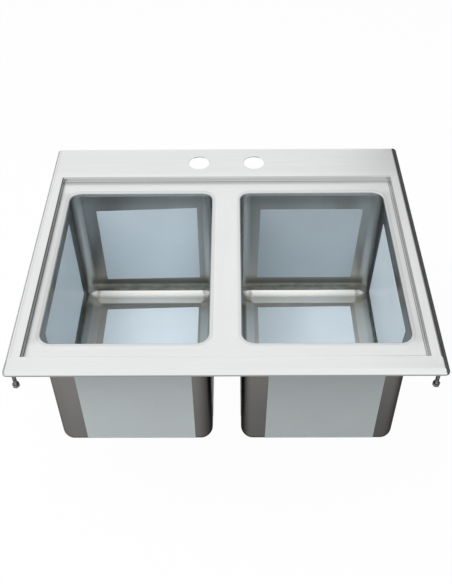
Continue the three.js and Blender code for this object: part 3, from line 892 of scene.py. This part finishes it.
def make_deck():
    skin = Surface()
    stepped = RIM_TOP - STEP_RADIUS
    foot = SHELF_TOP + STEP_RADIUS
    inner_bend = max(STEP_RADIUS - SHEET, 0.0001)

    def rim(points):
        return [skin.loop(rounded_rect(rim_box, inset, RIM_CORNER), z) for inset, z in points]

    def step(points):
        return [skin.loop(rounded_rect(step_box, inset, STEP_CORNER + inset), z) for inset, z in points]

    def faucet_holes(z, growth):
        y = deck_high.y - FAUCET_FROM_EDGE
        return [skin.loop(circle(x * FAUCET_PITCH, y, FAUCET_HOLE + growth), z) for x in (-0.5, 0.5)]

    def lip(side, points):
        return [skin.loop(rounded_rect(bowl_box(side), -outset, BOWL_CORNER), z) for outset, z in points]

    quarter = arc(1, 0, 1, 180, 90, BEND_STEPS)
    roll = rim(
        [(RIM_FOOT_WIDTH, 0)] + arc(RIM_FOOT_BEND, RIM_FOOT_BEND, RIM_FOOT_BEND, 270, 180, 5)
        + [(ROLL_WIDTH * a, RIM_TOP - ROLL_RADIUS * (1 - b)) for a, b in quarter])
    steps = step(arc(0, stepped, STEP_RADIUS, 90, 0, 6) + arc(STEP_RUN, foot, STEP_RADIUS, 180, 270, 6))
    top_holes = faucet_holes(RIM_TOP, 2 * HOLE_BURR)
    skin.fill(roll[-1], [steps[0], *top_holes])
    skin.bridge_all(steps)

    under_roll = rim(
        arc(ROLL_RADIUS, RIM_TOP - ROLL_RADIUS, ROLL_RADIUS - SHEET, 90, 180, BEND_STEPS)
        + arc(RIM_FOOT_BEND, RIM_FOOT_BEND, RIM_FOOT_BEND - SHEET, 180, 270, 2) + [(RIM_FOOT_WIDTH, SHEET)])
    under_step = step(
        arc(STEP_RUN, foot, STEP_RUN - inner_bend, 270, 180, 6) + arc(0, stepped, inner_bend, 0, 90, 2))
    mid_holes = faucet_holes(RIM_TOP - HOLE_BURR, 0)
    under_holes = faucet_holes(RIM_TOP - SHEET, 0)
    skin.bridge_all(under_roll + roll)
    skin.bridge_all(under_step)
    skin.fill(under_roll[0], [under_step[-1], *under_holes])
    for hole in zip(top_holes, mid_holes, under_holes):
        skin.bridge_all(list(hole))

    bend = SHELF_TOP - LIP_RADIUS
    upper, lower = [], []
    for side in SIDES:
        outside = lip(side, arc(LIP_RADIUS, bend, LIP_RADIUS, 90, 180, BEND_STEPS) + [(0, SEAM)])
        inside = lip(side, [(SHEET, SEAM)] + arc(LIP_RADIUS, bend, LIP_RADIUS - SHEET, 180, 90, BEND_STEPS))
        skin.bridge_all(outside + inside)
        upper.append(outside[0])
        lower.append(inside[-1])
    skin.fill(steps[-1], upper)
    skin.fill(under_step[0], lower)
    stand_for(skin.build("deck_sheet", DECK_STEEL), "deck")


# ---- Bowls ----

def cove_profile():
    """(inset, z) down a bowl's cove: the wall's arc, the crease's bend, then the foot out to the floor."""
    turn_in = degrees(asin((FLOOR_COVE - CREASE_HEIGHT) / FLOOR_COVE))
    upper = arc(FLOOR_COVE, FLOOR_TOP + FLOOR_COVE, FLOOR_COVE, 180, 180 + turn_in, 5)
    rise = FOOT_RUN * tan(FOOT_SLOPE)
    bend = (CREASE_HEIGHT - rise) / (cos(FOOT_SLOPE) - cos(CREASE_SLOPE))
    centre = (upper[-1][0] + bend * sin(CREASE_SLOPE), FLOOR_TOP + rise + bend * cos(FOOT_SLOPE))
    angles = (270 - degrees(CREASE_SLOPE), 270 - degrees(FOOT_SLOPE))
    curve = arc(*centre, bend, *angles, COVE_STEPS)
    foot = curve[-1][0] + FOOT_RUN
    return upper + curve[1:] + [(foot - FOOT_EASE, FLOOR_TOP + rise / 10), (foot, FLOOR_TOP)]


def make_bowl(side):
    """Deep bowl with a recess for the drain. Inside, its coved floor meets the walls in a crease."""
    skin = Surface()
    box = bowl_box(side)

    def wall(points):
        return [skin.loop(rounded_rect(box, inset, BOWL_CORNER), z) for inset, z in points]

    def drain(points):
        return [skin.loop(circle(*BOWL_CENTRE[side].xy, diameter), z) for diameter, z in points]

    inside = wall([(0, SEAM)] + cove_profile())
    recess = drain([(RECESS_BRIM, FLOOR_TOP), (RECESS_FOOT, RECESS_TOP), (DRAIN_HOLE, RECESS_TOP)])
    skin.bridge_all(inside)
    skin.fill(inside[-1], [recess[0]])
    skin.bridge_all(recess)
    skin.finish = 1
    cove = arc(FLOOR_COVE, FLOOR_TOP + FLOOR_COVE, FLOOR_COVE + SHEET, 180, 270, COVE_STEPS)
    outside = wall([(-SHEET, SEAM)] + cove)
    under = drain([
        (RECESS_BRIM + 2 * SHEET, FLOOR_TOP - SHEET), (RECESS_FOOT + 2 * SHEET, RECESS_TOP - SHEET),
        (DRAIN_HOLE, RECESS_TOP - SHEET)])
    skin.bridge_all(outside)
    skin.fill(outside[-1], [under[0]])
    skin.bridge_all(under)
    skin.bridge(inside[0], outside[0])
    skin.bridge(recess[-1], under[-1])
    stand_for(skin.build(f"bowl_{side}_sheet", SHADED_INNER_STEEL, SHADED_OUTER_STEEL), f"bowl_{side}")


# ---- Protective film ----

# Which way each wall's inner film faces
FILM_NORMALS = {
    "back": Vector((0, -1, 0)), "front": Vector((0, 1, 0)),
    "west": Vector((1, 0, 0)), "east": Vector((-1, 0, 0))}


def border(rows):
    """The outer vertices of a grid of rows, in order."""
    return rows[0] + [row[-1] for row in rows[1:]] + rows[-1][-2::-1] + [row[0] for row in rows[-2:0:-1]]


def ripple(u, v, seed):
    """A slow waviness of the loose face of a film, between 0 and 1."""
    wave = sin(2.1 * u + 1.3 * v + seed) * sin(1.7 * v - 0.9 * u + 2.3 * seed)
    return 0.5 + 0.5 * wave


def leaned(name, a, b):
    """How far a film's point lies from its square place, blended from its four corners."""
    start, end, far_end, far_start = FILM_LEANS.get(name, [(0, 0)] * 4)
    return [
        (1 - b) * ((1 - a) * start[k] + a * end[k]) + b * ((1 - a) * far_start[k] + a * far_end[k])
        for k in (0, 1)]


def make_wall_film(wall, side, seed):
    """A film inside a bowl's wall: a stuck face and a slightly rippled face, joined round the edge."""
    name = f"film_{wall}_{side}"
    low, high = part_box(name)
    size = high - low
    along_x = wall in ("back", "front")
    origin = Vector((high.x if wall == "east" else low.x, high.y if wall == "back" else low.y, low.z))
    u = Vector((size.x, 0, 0)) if along_x else Vector((0, size.y, 0))
    v = Vector((0, 0, size.z))
    skin = Surface()
    columns = max(2, round(u.length / FILM_GRID))
    rows = max(2, round(v.length / FILM_GRID))

    def grid(height):
        made = []
        for j in range(rows + 1):
            line = []
            for i in range(columns + 1):
                a, b = i / columns, j / rows
                lift = height
                if height and 0 < i < columns and 0 < j < rows:
                    lift -= FILM_RIPPLE * ripple(8 * a, 8 * b, seed)
                along, up = leaned(name, a, b)
                flat = origin + u * a + v * b + u.normalized() * along + v.normalized() * up
                line.append(flat + FILM_NORMALS[wall] * lift)
            made.append(skin.path(line))
        skin.bridge_all(made, closed=False)
        return made

    back, face = grid(0), grid(FILM)
    skin.bridge(border(back), border(face))
    stand_for(skin.build(f"{name}_panel", BACK_FILM if along_x else SIDE_FILM), name)


def make_floor_film(side):
    """The film on a bowl's floor, cut out round the drain."""
    name = f"film_floor_{side}"
    low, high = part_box(name)
    size = high - low
    hole = circle(*BOWL_CENTRE[side].xy, RECESS_BRIM + 2 * FILM_FROM_DRAIN)
    edge = []
    for x, y in rounded_rect((low.x, high.x, low.y, high.y), 0, FILM_CORNER):
        aside, back = leaned(name, (x - low.x) / size.x, (y - low.y) / size.y)
        edge.append((x + aside, y + back))
    skin = Surface()
    outlines = [[skin.loop(edge, z), skin.loop(hole, z)] for z in (low.z, high.z)]
    for outer, inner in outlines:
        skin.fill(outer, [inner])
    for lower, upper in zip(*outlines):
        skin.bridge(lower, upper)
    stand_for(skin.build(f"{name}_panel", FLOOR_FILM), name)


def make_outer_film(wall, side):
    """A strip of film down an outside wall and round the cove under it."""
    name = f"film_outer_{wall}_{side}"
    low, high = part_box(name)
    box = bowl_box(side)
    along_x = wall in ("front", "back")
    start, end = (low.x, high.x) if along_x else (low.y, high.y)
    face, sign = {"front": (box[2], -1), "back": (box[3], 1), "west": (box[0], -1), "east": (box[1], 1)}[wall]
    depth = high.y - low.y if along_x else high.x - low.x

    def profile(gap):
        turn = arc(-FLOOR_COVE, FLOOR_TOP + FLOOR_COVE, FLOOR_COVE + SHEET + gap, 360, 270, COVE_STEPS)
        tail = SHEET + FILM_GAP + FILM - depth
        return [(SHEET + gap, high.z)] + turn + [(tail, FLOOR_TOP - SHEET - gap)]

    skin = Surface()
    columns = max(2, round((end - start) / FILM_GRID))
    at_top, at_floor = OUTER_LEANS.get(name, [(0, 0)] * 2)
    sheets = []
    for gap in (FILM_GAP, FILM_GAP + FILM):
        lines = []
        for out, z in profile(gap):
            height = max(0, (z - FLOOR_TOP) / (high.z - FLOOR_TOP))
            first, last = (f + (t - f) * height for f, t in zip(at_floor, at_top))
            run = end + last - start - first
            along = [start + first + run * i / columns for i in range(columns + 1)]
            across = face + sign * out
            lines.append(skin.path([(a, across, z) if along_x else (across, a, z) for a in along]))
        skin.bridge_all(lines, closed=False)
        sheets.append(lines)

    skin.bridge(border(sheets[0]), border(sheets[1]))
    stand_for(skin.build(f"{name}_strip", OUTER_FILM), name)


# ---- Drain ----

def make_drain_body(side, place):
    name = f"drain_body_{side}"
    low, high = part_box(name)
    flange = (high.x - low.x) / 2
    top = high.z
    under = top - FLANGE_HEIGHT
    seat = SEAT_DIAMETER / 2
    bore = TAIL_DIAMETER / 2
    neck = NECK_DIAMETER / 2
    upper = rounded(
        [(flange, under), (flange, under + FLANGE_HEIGHT / 3), (flange - FLANGE_HEIGHT, top),
         (seat + SEAT_DROP, top), (seat, top - SEAT_DROP), (bore, top - SEAT_DROP), (bore, low.z)],
        [0, 0.0005, 0.0012, 0.0009, 0.0003, 0.0008, 0])
    thread = threaded(neck, low.z + NECK_TIP, under - NECK_SHOULDER, NECK_PITCH, NECK_THREAD)
    profile = [(neck - NECK_THREAD, low.z)] + thread + [(neck, under)] + upper
    stand_for(turned(f"{name}_turned", profile, place, CHROME), name)


def make_ring(kind, side, place, bore, edge, material, sag=0.0):
    """A plain washer with rounded edges; sag bulges its outer edge like squeezed rubber."""
    name = f"{kind}_{side}"
    low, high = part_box(name)
    outer = (high.x - low.x) / 2
    middle = (low.z + high.z) / 2
    profile = rounded(
        [(bore / 2, low.z), (outer - sag, low.z), (outer, middle), (outer - sag, high.z), (bore / 2, high.z)],
        [edge / 2, edge, edge, edge, edge / 2])
    stand_for(turned(f"{name}_turned", profile, place, material), name)


def make_tailpiece(side, place):
    name = f"tailpiece_{side}"
    low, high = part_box(name)
    inner = TAIL_DIAMETER / 2 - TAIL_WALL
    flange = (high.x - low.x) / 2
    under = high.z - TAIL_FLANGE_HEIGHT
    profile = rounded(
        [(inner, low.z), (TAIL_DIAMETER / 2, low.z), (TAIL_DIAMETER / 2, under), (flange, under),
         (flange, high.z), (inner, high.z)],
        [0.0004, 0.0005, 0.0012, 0.0004, 0.0004, 0.0009])
    stand_for(turned(f"{name}_turned", profile, place, CHROME), name)


def slot_angles():
    """The angles of the cup's upright edges, and whether each one starts a stretch of open slot."""
    half_slot = asin(CUP_SLOT_WIDTH / CUP_OUTSIDE)
    per_slot = 2 * pi / CUP_SLOTS
    rest = per_slot - 2 * half_slot
    angles, is_open = [], []
    for i in range(CUP_SLOTS):
        start = i * per_slot
        for step in range(5):
            angles.append(start - half_slot + 2 * half_slot * step / 4)
            is_open.append(step < 4)
        for step in range(1, 6):
            angles.append(start + half_slot + rest * step / 6)
            is_open.append(False)
    return angles, is_open


def cup_walls(skin, place, bottom, top, rim_radius):
    """The cup's slotted wall and its rim; returns the outer and the inner edge of the bottom."""
    outer = CUP_OUTSIDE / 2
    inner = outer - CUP_WALL
    rim_under = top - CUP_RIM_HEIGHT
    slot_low, slot_high = bottom + CUP_SLOT_MARGIN, rim_under - CUP_SLOT_MARGIN
    angles, is_open = slot_angles()

    def rings(profile):
        return [skin.loop([spoke(place, radius, a) for a in angles], z) for radius, z in profile]

    wall_out = rings([
        (outer - CUP_BEND, bottom), (outer - CUP_BEND * 0.3, bottom + CUP_BEND * 0.3),
        (outer, bottom + CUP_BEND), (outer, slot_low), (outer, slot_high), (outer, rim_under)])
    rim = rings([
        (rim_radius - 0.0002, rim_under), (rim_radius, rim_under + 0.0003),
        (rim_radius - 0.0002, top - 0.0003), (rim_radius - 0.0007, top),
        (inner + 0.0009, top), (inner + 0.0002, top - 0.0003)])
    wall_in = rings([
        (inner, top - 0.0010), (inner, slot_high), (inner, slot_low), (inner, bottom + CUP_WALL + CUP_BEND),
        (inner - CUP_BEND, bottom + CUP_WALL)])
    out_low, out_high = wall_out[3:5]
    in_high, in_low = wall_in[1:3]
    loops = wall_out + rim + wall_in
    for first, second in zip(loops, loops[1:]):
        if first is not out_low and first is not in_high:
            skin.bridge(first, second)
    for i in range(len(angles)):
        j = (i + 1) % len(angles)
        if is_open[i]:
            skin.face(out_low[i], out_low[j], in_low[j], in_low[i])
            skin.face(out_high[i], out_high[j], in_high[j], in_high[i])
        else:
            skin.face(out_low[i], out_low[j], out_high[j], out_high[i])
            skin.face(in_low[i], in_low[j], in_high[j], in_high[i])
        if is_open[i] != is_open[i - 1]:
            skin.face(out_low[i], out_high[i], in_high[i], in_low[i])
    return wall_out[0], wall_in[-1]


def cup_bottom(skin, place, bottom, edge_below, edge_above):
    """The cup's bottom, with rings of round holes about the post."""
    post = POST_DIAMETER / 2
    rings = int((CUP_OUTSIDE / 2 - CUP_WALL - CUP_HOLE - post) / HOLE_RING_PITCH)
    above, below = [], []
    for r in range(rings):
        radius = post + (r + 1) * HOLE_RING_PITCH
        count = int(2 * pi * radius / HOLE_SPACING)
        for k in range(count):
            hole = circle(*spoke(place, radius, 2 * pi * k / count), CUP_HOLE, HOLE_SIDES)
            above.append(skin.loop(hole, bottom + CUP_WALL))
            below.append(skin.loop(hole, bottom))
            skin.bridge(above[-1], below[-1])
    skin.fill(edge_above, above)
    skin.fill(edge_below, below)


def make_crumb_cup(side, place):
    """A cup with a rim, slots in its wall and rings of holes in its bottom; the knob is its own piece."""
    name = f"crumb_cup_{side}"
    low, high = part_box(name)
    under = high.z - KNOB_HEIGHT
    skin = Surface()
    edges = cup_walls(skin, place, low.z, under - KNOB_CLEARANCE, (high.x - low.x) / 2)
    cup_bottom(skin, place, low.z, *edges)
    stand_for(skin.build(f"{name}_perforated", CHROME), name)

    post, knob = POST_DIAMETER / 2, KNOB_DIAMETER / 2
    root = low.z + CUP_WALL * 0.5
    outline = rounded(
        [(0, root), (post, root), (post, under), (knob, under + KNOB_HEIGHT * 0.3),
         (knob, under + KNOB_HEIGHT * 0.7), (knob * 0.6, high.z), (0, high.z)],
        [0, 0, 0.0008, 0.0008, 0.0010, 0.0016, 0], 5)
    grip = turned(f"{name}_knob", outline, place, CHROME, KNOB_SIDES)
    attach(grip, frame["nodes"][name]["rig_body"])


def make_drain(side):
    place = tuple(BOWL_CENTRE[side].xy)
    make_drain_body(side, place)
    make_ring("drain_gasket", side, place, THREAD_BORE, 0.0006, RUBBER, sag=0.0006)
    make_ring("friction_ring", side, place, THREAD_BORE, 0.0002, FIBRE)
    make_ring("tail_washer", side, place, TAIL_DIAMETER, 0.0004, PLASTIC)
    make_tailpiece(side, place)
    make_nut(f"locknut_{side}", place, THREAD_BORE, LOCKNUT_END, CHROME)
    coupling = f"coupling_nut_{side}"
    throat = (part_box(coupling)[0].z + COUPLING_LIP, TAIL_DIAMETER + THREAD_BORE - NECK_DIAMETER)
    make_nut(coupling, place, THREAD_BORE, COUPLING_END, CHROME, throat)
    make_crumb_cup(side, place)


# ---- Hold-down studs ----

def make_hold_down(corner):
    name = f"stud_{corner}"
    low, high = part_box(name)
    place = ((low.x + high.x) / 2, (low.y + high.y) / 2)
    radius = (high.x - low.x) / 2
    shank = high.z - STUD_SHANK
    top = high.z - STUD_GAP
    thread = threaded(radius, low.z + STUD_TIP, shank, STUD_PITCH, STUD_THREAD)
    weld = [(radius, shank + 0.001), (radius, high.z - STUD_WELD), (radius + STUD_WELD, top)]
    profile = [(0, low.z), (radius - 0.0010, low.z)] + thread + weld + [(0, top)]
    stand_for(turned(f"{name}_threaded", profile, place, ZINC, STUD_SIDES), name)
    make_nut(f"nut_{corner}", place, NUT_BORE, HOLD_DOWN_END, ZINC)


make_deck()
for number, bowl_side in enumerate(SIDES):
    make_bowl(bowl_side)
    for order, film_wall in enumerate(FILM_NORMALS, 1):
        make_wall_film(film_wall, bowl_side, 3 * number + 1.7 * order)
    make_floor_film(bowl_side)
    for film_wall in ("front", "back", "west", "east"):
        make_outer_film(film_wall, bowl_side)
    make_drain(bowl_side)
for stud_corner in ("front_left", "front_right", "rear_left", "rear_right"):
    make_hold_down(stud_corner)


# ---- Studio ----

PHOTO_HEIGHT_PX = 584
FOCAL_LENGTH_PX = 795.47
SENSOR_MM = 36
CAMERA_PLACE = Vector((0.0123, -0.9835, 0.896))
CAMERA_PITCH = radians(45.50)
CAMERA_YAW = radians(-0.78)
CAMERA_ROLL = radians(-0.77)


def make_camera():
    """The photograph's camera, found from the sink's straight edges."""
    lens = bpy.data.cameras.new("photo_camera")
    lens.sensor_width = SENSOR_MM
    lens.lens = FOCAL_LENGTH_PX / PHOTO_HEIGHT_PX * SENSOR_MM
    lens.clip_start, lens.clip_end = 0.01, 200
    stance = Matrix.Translation(CAMERA_PLACE)
    for angle, axis in ((-CAMERA_YAW, "Z"), (pi / 2 - CAMERA_PITCH, "X"), (CAMERA_ROLL, "Z")):
        stance = stance @ Matrix.Rotation(angle, 4, axis)
    scene.camera = linked("photo_camera", lens)
    scene.camera.matrix_world = stance


def seen_directly(tree):
    """1 for rays that see the background themselves, in a mirror or through glass."""
    rays = node(tree, "LightPath").outputs
    camera, glossy, clear = (
        Field(tree, rays[f"Is {kind} Ray"]) for kind in ("Camera", "Glossy", "Transmission"))
    return maths("MAXIMUM", camera, maths("MAXIMUM", glossy, clear))


FLOOR_SIZE = 60
FLOOR_GREY = 0.8
FLOOR_WHITENESS = 0.97
FLOOR_DROP = 0.0002
WORLD_LIGHT = 0.35


def make_floor():
    """A pale floor that keeps a soft shadow of the sink."""
    material = bpy.data.materials.new("studio_floor")
    tree = empty_tree(material)
    plain = field(tree, "BsdfDiffuse", {"Color": grey(FLOOR_GREY)})
    white = field(tree, "Emission", {"Color": grey(1)})
    share = seen_directly(tree) * FLOOR_WHITENESS
    mixed = field(tree, "MixShader", {0: share, 1: plain, 2: white})
    node(tree, "OutputMaterial", {"Surface": mixed})
    skin = Surface()
    half = FLOOR_SIZE / 2
    corners = [(-half, -half), (half, -half), (half, half), (-half, half)]
    skin.fill(skin.loop(corners, cad_low.z - FLOOR_DROP))
    skin.build("floor", material)


def make_world():
    """White to look at, dimmer as a light."""
    world = bpy.data.worlds.new("studio")
    tree = empty_tree(world)
    light, white = (
        field(tree, "Background", {"Color": grey(1), "Strength": power}) for power in (WORLD_LIGHT, 1.0))
    mixed = field(tree, "MixShader", {0: seen_directly(tree), 1: light, 2: white})
    node(tree, "OutputWorld", {"Surface": mixed})
    scene.world = world


def make_lamp(name, place, target, size, power):
    """A soft square lamp aimed at a point. The steel mirrors the white studio, not the lamp itself."""
    lamp = bpy.data.lights.new(name, "AREA")
    lamp.size, lamp.energy = size, power
    made = linked(name, lamp)
    place = Vector(place)
    aim = (Vector(target) - place).to_track_quat("-Z", "Y")
    made.matrix_world = Matrix.Translation(place) @ aim.to_matrix().to_4x4()
    made.visible_glossy = False


def make_flag(name, centre, size, level):
    """An upright card beside the sink, seen only in the steel, which gives its edges their contrast."""
    material = bpy.data.materials.new(name)
    tree = empty_tree(material)
    card = field(tree, "BsdfDiffuse", {"Color": grey(level)})
    node(tree, "OutputMaterial", {"Surface": card})
    skin = Surface()
    half = Vector(size) / 2
    low, high = Vector(centre) - half, Vector(centre) + half
    ends = [low.xy, high.xy]
    skin.face(*skin.loop(ends, low.z), *skin.loop(ends[::-1], high.z))
    made = skin.build(name, material)
    for ray in ("camera", "diffuse", "shadow", "transmission"):
        setattr(made, f"visible_{ray}", False)


make_camera()
make_floor()
make_world()
make_lamp("overhead_softbox", (-0.1, -0.6, 2.2), (0, -0.03, -0.1), 2.6, 42)
make_lamp("left_softbox", (-1.5, -0.4, 1.8), (0.1, -0.03, -0.15), 1.8, 30)
make_flag("right_flag", (0.62, 0.5, 0.05), (0, 2.2, 0.9), 0.12)
make_flag("rear_right_flag", (1.0, 1.4, 0.45), (0.9, 0, 0.9), 0.28)
make_flag("left_flag", (-0.75, 0.4, 0.14), (0, 2.4, 0.32), 0.78)

scene.view_settings.view_transform = "Standard"
